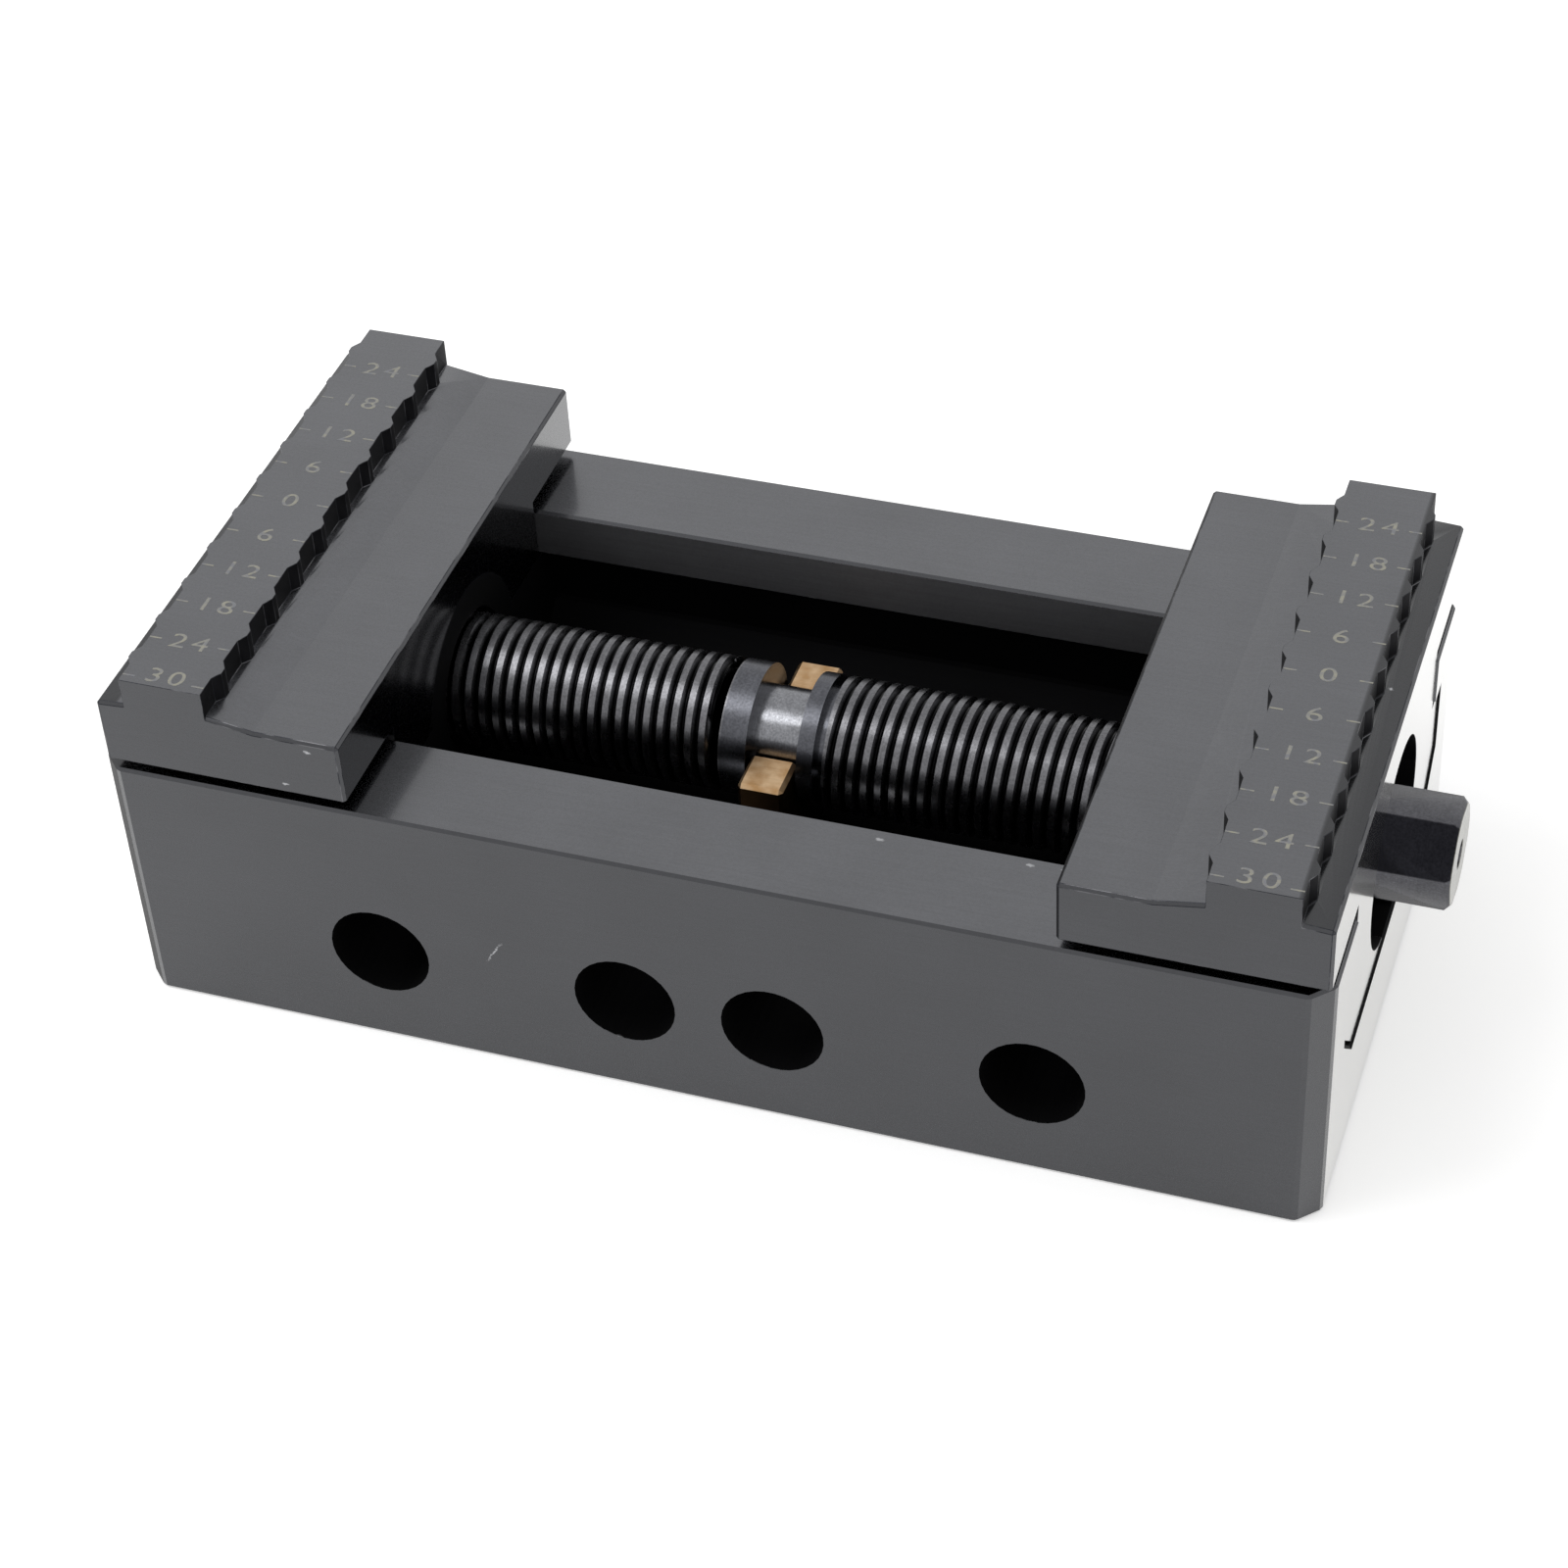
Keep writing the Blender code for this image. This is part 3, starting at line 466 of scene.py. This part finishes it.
def spindle_steel(name, finish):
    """Turned, blackened and oiled steel. The eye gets grainy grey crests, lightened as painted highlight,
    over black roots darkened as painted shade, a polished neck lightened partly by a painted highlight
    between darker collars, tool marks round the axis, every other flat of the hexagon lightened as painted
    light and the rest darkened as painted shade, and a painted highlight on the tip's end face."""
    material, tree, position = new_material(name)
    x, y, z = add_node(tree, "ShaderNodeSeparateXYZ", {0: position}).outputs
    off = off_axis_distance(tree, y, z)
    along = add_node(tree, "ShaderNodeMath", {0: x}, operation="ABSOLUTE")
    # The neck's lighter colour is partly polished steel and partly a painted highlight
    neck = all_reached(
        tree, [(along, NECK_TO + EASE / 4, NECK_TO), (off, NECK_RADIUS + EASE, NECK_RADIUS + EASE / 2)]
    )

    # Three flats of the hexagon get painted light and the three between them painted shade
    height = add_node(tree, "ShaderNodeMath", {0: z, 1: AXIS_AT}, operation="SUBTRACT")
    turn = add_node(tree, "ShaderNodeMath", {0: height, 1: y}, operation="ARCTAN2")
    inputs = {0: turn, 1: PAINTED_LIGHT_FLATS, 2: -PAINTED_LIGHT_FLATS * PAINTED_LIGHT_TURN}
    turn = add_node(tree, "ShaderNodeMath", inputs, operation="MULTIPLY_ADD")
    wave = add_node(tree, "ShaderNodeMath", {0: turn}, operation="COSINE")
    rubbed = add_node(tree, "ShaderNodeMapRange", {"Value": wave, "From Min": -0.05, "From Max": 0.05})
    inputs = {FACTOR: rubbed, FIRST: finish.drive, SECOND: finish.drive_rubbed}
    flats = add_node(tree, "ShaderNodeMix", inputs, data_type="RGBA")

    # Crests get a painted highlight and roots painted shade
    crest = add_node(tree, "ShaderNodeMapRange", {"Value": off, "From Min": ROOT_TO, "From Max": CREST_FROM})
    inputs = {"Value": along, "From Min": COLLAR_TO + EASE / 4, "From Max": COLLAR_TO}
    collars = add_node(tree, "ShaderNodeMapRange", inputs)
    inputs = {"Value": x, "From Min": DRIVE_FROM - EASE, "From Max": DRIVE_FROM}
    drive = add_node(tree, "ShaderNodeMapRange", inputs)
    # The tip's end face gets the ends' pale painted highlight
    inputs = {"Value": x, "From Min": TIP_AT - EASE / 4, "From Max": TIP_AT}
    tip = add_node(tree, "ShaderNodeMapRange", inputs)
    layers = (
        (crest, finish.thread_crest),
        (collars, finish.collar),
        (neck, finish.neck),
        (drive, flats),
        (tip, finish.oxide_end),
    )
    color = finish.thread_root
    for share, over in layers:
        inputs = {FACTOR: share, FIRST: color, SECOND: over}
        color = add_node(tree, "ShaderNodeMix", inputs, data_type="RGBA")
    # Tool marks run round the axis, so they vary fast along X and slowly round it
    marks = speckle(tree, position, 0.12 * MM, stretch=(1, 30, 30), detail=1.0)
    smudge = speckle(tree, position, 2.5 * MM, detail=4.0)
    grit = speckle(tree, position, 0.25 * MM, detail=3.0)
    for pattern, amount in ((marks, 0.15), (smudge, 0.25), (grit, 0.6)):
        color = mottled(tree, color, pattern, amount)
    rough = 0.14
    for pattern, rougher in ((crest, 0.06), (smudge, 0.16)):
        inputs = {0: pattern, 1: rougher, 2: rough}
        rough = add_node(tree, "ShaderNodeMath", inputs, operation="MULTIPLY_ADD")
    steel_surface(tree, color, rough, marks, RELIEF)
    return material


def screw_steel(name, finish):
    """Hardened, blackened screws and sleeves. The eye gets a dark grey with turned rings."""
    material, tree, position = new_material(name)
    rings = speckle(tree, position, 0.15 * MM, detail=1.0)
    steel_surface(tree, mottled(tree, finish.screw_color, rings, 0.2), 0.30, rings, RELIEF)
    return material


def milled_bronze(name, finish):
    """Bearing bronze, milled and left bare. The eye gets a warm, pale gold on the tops, with straight
    cutter lines and slightly darker patches, and brown sides darkened as painted shade."""
    material, tree, position = new_material(name)
    cutter = speckle(tree, position, 0.18 * MM, stretch=(25, 1, 25), detail=1.0)
    patches = speckle(tree, position, 1.6 * MM, detail=4.0)
    share = add_node(tree, "ShaderNodeMapRange", {"Value": patches, "From Min": 0.35, "From Max": 0.65})
    color = add_node(
        tree,
        "ShaderNodeMix",
        {FACTOR: share, FIRST: finish.bronze_dark, SECOND: finish.bronze_light},
        data_type="RGBA",
    )
    # Faces that don't look up get a darker brown, a painted shade
    normal = add_node(tree, "ShaderNodeTexCoord").outputs["Normal"]
    facing = add_node(tree, "ShaderNodeSeparateXYZ", {0: normal})
    least, most = BRONZE_TOP
    inputs = {"Value": facing.outputs[2], "From Min": least, "From Max": most}
    upward = add_node(tree, "ShaderNodeMapRange", inputs)
    color = add_node(
        tree,
        "ShaderNodeMix",
        {FACTOR: upward, FIRST: finish.bronze_oily, SECOND: color},
        data_type="RGBA",
    )
    rough = add_node(tree, "ShaderNodeMath", {0: patches, 1: 0.2, 2: 0.29}, operation="MULTIPLY_ADD")
    steel_surface(tree, mottled(tree, color, cutter, 0.12), rough, cutter, CUTTER_RELIEF)
    return material


def laser_mark(name, finish):
    """Numerals burnt into the oxide by a laser. The eye gets a dry, faint, yellowish grey, broken
    where the oxide came through."""
    material, tree, position = new_material(name)
    burn = speckle(tree, position, 0.9 * MM, detail=5.0)
    share = add_node(tree, "ShaderNodeMapRange", {"Value": burn, "From Min": 0.38, "From Max": 0.60})
    color = add_node(
        tree,
        "ShaderNodeMix",
        {FACTOR: share, FIRST: finish.neck, SECOND: finish.mark_color},
        data_type="RGBA",
    )
    steel_surface(tree, color, 0.42, burn, RELIEF)
    return material


def finish_named(name):
    """One of the vise's finishes, made from the finish settings when it is first asked for."""
    makers = {
        "black_oxide_steel": ground_steel,
        "rubbed_oxide_edge_and_highlight": rubbed_edge,
        "turned_spindle_steel": spindle_steel,
        "hardened_screw_steel": screw_steel,
        "milled_bearing_bronze": milled_bronze,
        "laser_burnt_oxide": laser_mark,
    }
    return bpy.data.materials.get(name) or makers[name](name, bpy.context.scene.vise_finish)


def welded_copy(node):
    """The CAD node's shape as one welded mesh of flat faces, in a bmesh."""
    shape = bmesh.new()
    shape.from_mesh(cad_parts[node].data)
    bmesh.ops.remove_doubles(shape, verts=shape.verts, dist=MERGE)
    bmesh.ops.dissolve_limit(shape, angle_limit=FLAT, verts=shape.verts, edges=shape.edges)
    return shape


def new_piece(name, shape, body, slot, *surfaces):
    """A finished mesh object that rides on a body."""
    mesh = bpy.data.meshes.new(name)
    shape.to_mesh(mesh)
    shape.free()
    mesh.shade_smooth()
    mesh.set_sharp_from_angle(angle=SHARP)
    for surface in surfaces:
        mesh.materials.append(surface)
    piece = bpy.data.objects.new(name, mesh)
    bpy.context.scene.collection.objects.link(piece)
    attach(piece, body)
    return piece


def ease_edges(piece, width):
    """Rounds the piece's sharp edges and gives them its second material."""
    bevel = piece.modifiers.new("eased edges", "BEVEL")
    bevel.width = width
    bevel.segments = 2
    bevel.limit_method = "ANGLE"
    bevel.angle_limit = SHARP
    bevel.use_clamp_overlap = False
    bevel.miter_outer = "MITER_ARC"
    bevel.harden_normals = True
    bevel.material = 1


def paint_node(node, surface):
    """Gives a CAD node that keeps its shape its finish."""
    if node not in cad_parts:
        raise RuntimeError(f"the frame has no node {node}")
    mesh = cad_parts[node].data
    mesh.materials.clear()
    mesh.materials.append(surface)


def off_axis(vert):
    """Distance of a vertex from the spindle's axis."""
    return math.hypot(vert.co.y, vert.co.z)


def thread_stretches(shape):
    """The spindle's two plain stretches. Each is its side along X as 1 or -1, the place of its inner end,
    the place and the radius where its end chamfer stops, and its own radius."""
    crest = max(off_axis(vert) for vert in shape.verts)
    least = 10 * MM
    ends = set()
    for face in shape.faces:
        xs = [vert.co.x for vert in face.verts]
        round_face = min(off_axis(vert) for vert in face.verts) > crest - TOUCH
        if round_face and max(xs) - min(xs) > least:
            low, high = min(xs), max(xs)
            ends.add((round(low, 6), round(high, 6)) if low > 0 else (round(high, 6), round(low, 6)))
    found = []
    for inner, outer in sorted(ends):
        side = 1 if inner > 0 else -1
        beyond = [side * vert.co.x for vert in shape.verts if side * vert.co.x > side * outer + TOUCH]
        tip = side * min(beyond)
        tip_radius = max(off_axis(v) for v in shape.verts if abs(v.co.x - tip) < TOUCH)
        found.append((side, inner, tip, tip_radius, crest))
    return found


def clear_stretch(shape, side, inner, tip, tip_radius):
    """Removes the plain bar, its inner wall, its end chamfer and what lies in its end plane."""
    plain = []
    for face in shape.faces:
        along = [side * vert.co.x for vert in face.verts]
        inside = min(along) > side * inner - TOUCH and max(along) < side * tip + TOUCH
        wide = max(off_axis(vert) for vert in face.verts) > tip_radius + TOUCH
        in_end = min(along) > side * tip - TOUCH
        if inside and (wide or in_end):
            plain.append(face)
    bmesh.ops.delete(shape, geom=plain, context="FACES")


def helical_strip(side, inner, tip, tip_radius, crest):
    """A thread's open surface. It is left-hand at the hexagonal end and right-hand at the far end,
    so that one turn brings both jaws in."""
    thread = bpy.context.scene.vise_thread
    flank = (thread.pitch - thread.crest - thread.root) / 2
    root = crest - thread.depth
    outline = [
        (0, root),
        (thread.root, root),
        (thread.root + flank, crest),
        (thread.root + flank + thread.crest, crest),
        (thread.pitch, root),
    ]
    turns = math.ceil(abs(tip - inner) / thread.pitch) + 2
    start = tip + side * thread.pitch
    shape = bmesh.new()
    verts = [shape.verts.new((start - side * along, 0, radius)) for along, radius in outline]
    edges = [shape.edges.new(pair) for pair in zip(verts, verts[1:])]
    bmesh.ops.spin(
        shape,
        geom=verts + edges,
        cent=(0, 0, 0),
        axis=(1, 0, 0),
        dvec=(-side * thread.pitch / thread.steps, 0, 0),
        angle=2 * math.pi * turns,
        steps=thread.steps * turns,
        use_duplicate=False,
    )
    bmesh.ops.remove_doubles(shape, verts=shape.verts, dist=STITCH)
    for place, outward in ((inner, -side), (tip, side)):
        bmesh.ops.bisect_plane(
            shape,
            geom=shape.verts[:] + shape.edges[:] + shape.faces[:],
            dist=MERGE,
            plane_co=(place, 0, 0),
            plane_no=(outward, 0, 0),
            clear_outer=True,
        )
    for vert in shape.verts:
        limit = tip_radius + abs(tip - vert.co.x)
        radius = off_axis(vert)
        if radius > limit:
            vert.co.y *= limit / radius
            vert.co.z *= limit / radius
    return shape


def close_plane(shape, place):
    """Joins the two open loops in a plane across the axis, or caps the only one."""
    rim = [e for e in shape.edges if e.is_boundary and all(abs(v.co.x - place) < TOUCH for v in e.verts)]
    loops = 0
    waiting = set(rim)
    while waiting:
        loops += 1
        reach = [waiting.pop()]
        while reach:
            edge = reach.pop()
            linked = {other for vert in edge.verts for other in vert.link_edges} & waiting
            waiting -= linked
            reach.extend(linked)
    if loops == 2:
        bmesh.ops.bridge_loops(shape, edges=rim)
    else:
        bmesh.ops.holes_fill(shape, edges=rim, sides=0)


class VISE_OT_body(bpy.types.Operator):
    """Finish the vise's body"""

    bl_idname = "vise.body"
    bl_label = "Body"

    def execute(self, context):
        paint_node("body", finish_named("black_oxide_steel"))
        return {"FINISHED"}


class VISE_OT_jaws(bpy.types.Operator):
    """Make both jaws with eased, slightly rubbed edges that carry a painted highlight"""

    bl_idname = "vise.jaws"
    bl_label = "Jaws"

    def execute(self, context):
        surfaces = (finish_named("black_oxide_steel"), finish_named("rubbed_oxide_edge_and_highlight"))
        for jaw in JAWS:
            piece = new_piece(f"{jaw}_ground", welded_copy(jaw), jaw, "black_steel", *surfaces)
            ease_edges(piece, context.scene.vise_finish.edge_round)
            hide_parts(jaw)
        return {"FINISHED"}


class VISE_OT_spindle(bpy.types.Operator):
    """Cut the left-hand and the right-hand thread on the spindle"""

    bl_idname = "vise.spindle"
    bl_label = "Spindle"

    def execute(self, context):
        shape = welded_copy("spindle")
        low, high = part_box("spindle")
        height = (low.z + high.z) / 2
        bmesh.ops.translate(shape, verts=shape.verts, vec=(0, 0, -height))
        stretches = thread_stretches(shape)
        if len(stretches) != 2:
            raise RuntimeError(f"the spindle has {len(stretches)} plain stretches, not 2")
        for side, inner, tip, tip_radius, crest in stretches:
            clear_stretch(shape, side, inner, tip, tip_radius)
            strip = helical_strip(side, inner, tip, tip_radius, crest)
            holder = bpy.data.meshes.new("thread")
            strip.to_mesh(holder)
            strip.free()
            shape.from_mesh(holder)
            bpy.data.meshes.remove(holder)
        for _, inner, tip, _, _ in stretches:
            close_plane(shape, inner)
            close_plane(shape, tip)
        bmesh.ops.remove_doubles(shape, verts=shape.verts, dist=MERGE)
        bmesh.ops.recalc_face_normals(shape, faces=shape.faces)
        open_edges = sum(1 for edge in shape.edges if not edge.is_manifold)
        if open_edges:
            raise RuntimeError(f"the threaded spindle has {open_edges} open edges")
        bmesh.ops.translate(shape, verts=shape.verts, vec=(0, 0, height))
        surface = finish_named("turned_spindle_steel")
        piece = new_piece("threaded_spindle", shape, "spindle", "spindle_steel", surface)
        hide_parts("spindle")
        return {"FINISHED"}


class VISE_OT_bronze(bpy.types.Operator):
    """Finish the bronze yoke and the bronze nuts"""

    bl_idname = "vise.bronze"
    bl_label = "Yoke and nuts"

    def execute(self, context):
        for node in ("centre_yoke", "left_nut", "right_nut"):
            paint_node(node, finish_named("milled_bearing_bronze"))
        return {"FINISHED"}


class VISE_OT_small_steel(bpy.types.Operator):
    """Finish the screws and the location bushes"""

    bl_idname = "vise.small_steel"
    bl_label = "Screws and bushes"

    def execute(self, context):
        nodes = (
            "left_nut_screw",
            "right_nut_screw",
            "front_yoke_screw",
            "rear_yoke_screw",
            "left_location_bush",
            "right_location_bush",
        )
        for node in nodes:
            paint_node(node, finish_named("hardened_screw_steel"))
        return {"FINISHED"}


def add_mesh(shape, mesh, matrix):
    """Adds a mesh to a bmesh, moved by a matrix, and removes the mesh."""
    mesh.transform(matrix)
    shape.from_mesh(mesh)
    bpy.data.meshes.remove(mesh)


def numeral_mesh(text, scale):
    """Plain digits, centred on the origin, as a thin closed mesh."""
    curve = bpy.data.curves.new("numeral", "FONT")
    curve.body = text
    curve.size = scale.size
    curve.extrude = scale.thickness
    curve.space_character = scale.spacing
    curve.align_x = "CENTER"
    curve.align_y = "CENTER"
    curve.resolution_u = 4
    source = bpy.data.objects.new("numeral", curve)
    bpy.context.scene.collection.objects.link(source)
    bpy.context.view_layer.update()
    graph = bpy.context.evaluated_depsgraph_get()
    mesh = bpy.data.meshes.new_from_object(source.evaluated_get(graph))
    bpy.data.objects.remove(source)
    bpy.data.curves.remove(curve)
    return mesh


def ridge_top(jaw):
    """The long edges' places along X and the height of a jaw's toothed ridge, from its highest faces."""
    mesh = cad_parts[jaw].data
    top = max(vert.co.z for vert in mesh.vertices)
    xs = [vert.co.x for vert in mesh.vertices if vert.co.z > top - TOUCH]
    return min(xs), max(xs), top


class VISE_OT_scales(bpy.types.Operator):
    """Mark the millimetre scales on the jaws' ridges"""

    bl_idname = "vise.scales"
    bl_label = "Scales"

    def execute(self, context):
        scale = context.scene.vise_scale
        first = -round(scale.front_reach / scale.step)
        last = round(scale.rear_reach / scale.step)
        for jaw in JAWS:
            low, high, top = ridge_top(jaw)
            _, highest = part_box(jaw)
            shape = bmesh.new()
            for number in range(first, last + 1):
                value = round(abs(number) * scale.step / MM)
                mesh = numeral_mesh(str(value), scale)
                half_height = max(vert.co.y for vert in mesh.vertices)
                limit = highest.y - scale.edge - half_height
                y = max(-limit, min(limit, number * scale.step))
                place = Matrix.Translation(((low + high) / 2, y, top))
                add_mesh(shape, mesh, place @ Matrix.Diagonal((scale.stretch, 1, 1, 1)))
                tick_y = number * scale.step
                for edge, inward in ((low, 1), (high, -1)):
                    start = edge + inward * TICK_INSET
                    size = (scale.tick, scale.tick_width, 2 * scale.thickness)
                    middle = Vector((start + inward * scale.tick / 2, tick_y, top))
                    matrix = Matrix.Translation(middle) @ Matrix.Diagonal((*size, 1))
                    bmesh.ops.create_cube(shape, size=1, matrix=matrix)
            bmesh.ops.remove_doubles(shape, verts=shape.verts, dist=MERGE)
            bmesh.ops.recalc_face_normals(shape, faces=shape.faces)
            new_piece(f"{jaw}_scale", shape, jaw, "black_steel", finish_named("laser_burnt_oxide"))
        return {"FINISHED"}


def seen_directly(tree):
    """1 for rays from the camera, off glossy surfaces and through glass, else 0."""
    path = add_node(tree, "ShaderNodeLightPath")
    total = path.outputs["Is Camera Ray"]
    for name in ("Is Glossy Ray", "Is Transmission Ray"):
        inputs = {0: total, 1: path.outputs[name]}
        total = add_node(tree, "ShaderNodeMath", inputs, operation="ADD", use_clamp=True)
    return total


def paper_floor(stage):
    """A pale, matt paper floor. It keeps the vise's soft shadow and runs to white round it. From below
    it is clear, so that the vise's underside shows."""
    material, tree, _ = new_material("paper_floor")
    paper = add_node(tree, "ShaderNodeBsdfDiffuse", {"Color": stage.floor_color})
    inputs = {0: seen_directly(tree), 1: stage.floor_lift}
    lift = add_node(tree, "ShaderNodeMath", inputs, operation="MULTIPLY")
    glow = add_node(tree, "ShaderNodeEmission", {"Strength": lift})
    both = add_node(tree, "ShaderNodeAddShader", {0: paper, 1: glow})
    clear = add_node(tree, "ShaderNodeBsdfTransparent")
    back = add_node(tree, "ShaderNodeNewGeometry").outputs["Backfacing"]
    sided = add_node(tree, "ShaderNodeMixShader", {0: back, 1: both, 2: clear})
    add_node(tree, "ShaderNodeOutputMaterial", {"Surface": sided})
    return material


def white_sky(stage):
    """An even white world: white where it is seen, and a plain soft light on the vise."""
    world = bpy.data.worlds.new("white_sky")
    bpy.context.scene.world = world
    world.use_nodes = True
    tree = world.node_tree
    tree.nodes.clear()
    strength = add_node(
        tree,
        "ShaderNodeMath",
        {0: seen_directly(tree), 1: 1 - stage.sky, 2: stage.sky},
        operation="MULTIPLY_ADD",
    )
    sky = add_node(tree, "ShaderNodeBackground", {"Color": linear("#ffffff"), "Strength": strength})
    add_node(tree, "ShaderNodeOutputWorld", {"Surface": sky})


class VISE_OT_stage(bpy.types.Operator):
    """Set the floor, the soft light and the camera"""

    bl_idname = "vise.stage"
    bl_label = "Stage"

    def execute(self, context):
        scene = context.scene
        stage = scene.vise_stage
        shape = bmesh.new()
        bmesh.ops.create_grid(shape, x_segments=1, y_segments=1, size=stage.floor_size / 2)
        mesh = bpy.data.meshes.new("floor")
        shape.to_mesh(mesh)
        shape.free()
        mesh.materials.append(paper_floor(stage))
        floor = bpy.data.objects.new("floor", mesh)
        # A hair above the underside, so that the two don't lie in one plane
        floor.location.z = TOUCH
        scene.collection.objects.link(floor)
        white_sky(stage)

        light = bpy.data.lights.new("soft_lamp", "AREA")
        light.shape = "SQUARE"
        light.size = stage.lamp_size
        light.energy = stage.lamp_power
        lamp = bpy.data.objects.new("soft_lamp", light)
        lamp.location = LAMP_AT
        lamp.rotation_euler = (-lamp.location).to_track_quat("-Z", "Y").to_euler()
        scene.collection.objects.link(lamp)

        lens = bpy.data.cameras.new("camera")
        lens.sensor_width = SENSOR_WIDTH
        lens.lens = stage.lens
        camera = bpy.data.objects.new("camera", lens)
        camera.location = CAMERA_AT
        camera.rotation_euler = [math.radians(angle) for angle in CAMERA_TURN]
        scene.collection.objects.link(camera)
        scene.camera = camera
        scene.view_settings.view_transform = "Standard"
        return {"FINISHED"}


class VISE_PT_sidebar(bpy.types.Panel):
    """Lists the vise's pieces and settings"""

    bl_label = "Self-centering vise"
    bl_space_type = "VIEW_3D"
    bl_region_type = "UI"
    bl_category = "Vise"

    def draw(self, context):
        for operator in OPERATORS:
            self.layout.operator(operator.bl_idname)
        for name in GROUPS:
            group = getattr(context.scene, name)
            box = self.layout.box()
            for prop in group.bl_rna.properties:
                if prop.identifier not in ("name", "rna_type"):
                    box.prop(group, prop.identifier)


GROUPS = {
    "vise_finish": ViseFinish,
    "vise_thread": ViseThread,
    "vise_scale": ViseScale,
    "vise_stage": ViseStage,
}
OPERATORS = (
    VISE_OT_body,
    VISE_OT_jaws,
    VISE_OT_spindle,
    VISE_OT_bronze,
    VISE_OT_small_steel,
    VISE_OT_scales,
    VISE_OT_stage,
)


def register():
    for kind in (*GROUPS.values(), *OPERATORS, VISE_PT_sidebar):
        bpy.utils.register_class(kind)
    for name, kind in GROUPS.items():
        setattr(bpy.types.Scene, name, PointerProperty(type=kind))


def unregister():
    for name in GROUPS:
        delattr(bpy.types.Scene, name)
    for kind in reversed((*GROUPS.values(), *OPERATORS, VISE_PT_sidebar)):
        bpy.utils.unregister_class(kind)


def main():
    register()
    bpy.ops.vise.body()
    bpy.ops.vise.jaws()
    bpy.ops.vise.spindle()
    bpy.ops.vise.bronze()
    bpy.ops.vise.small_steel()
    bpy.ops.vise.scales()
    bpy.ops.vise.stage()


if __name__ == "__main__":
    main()
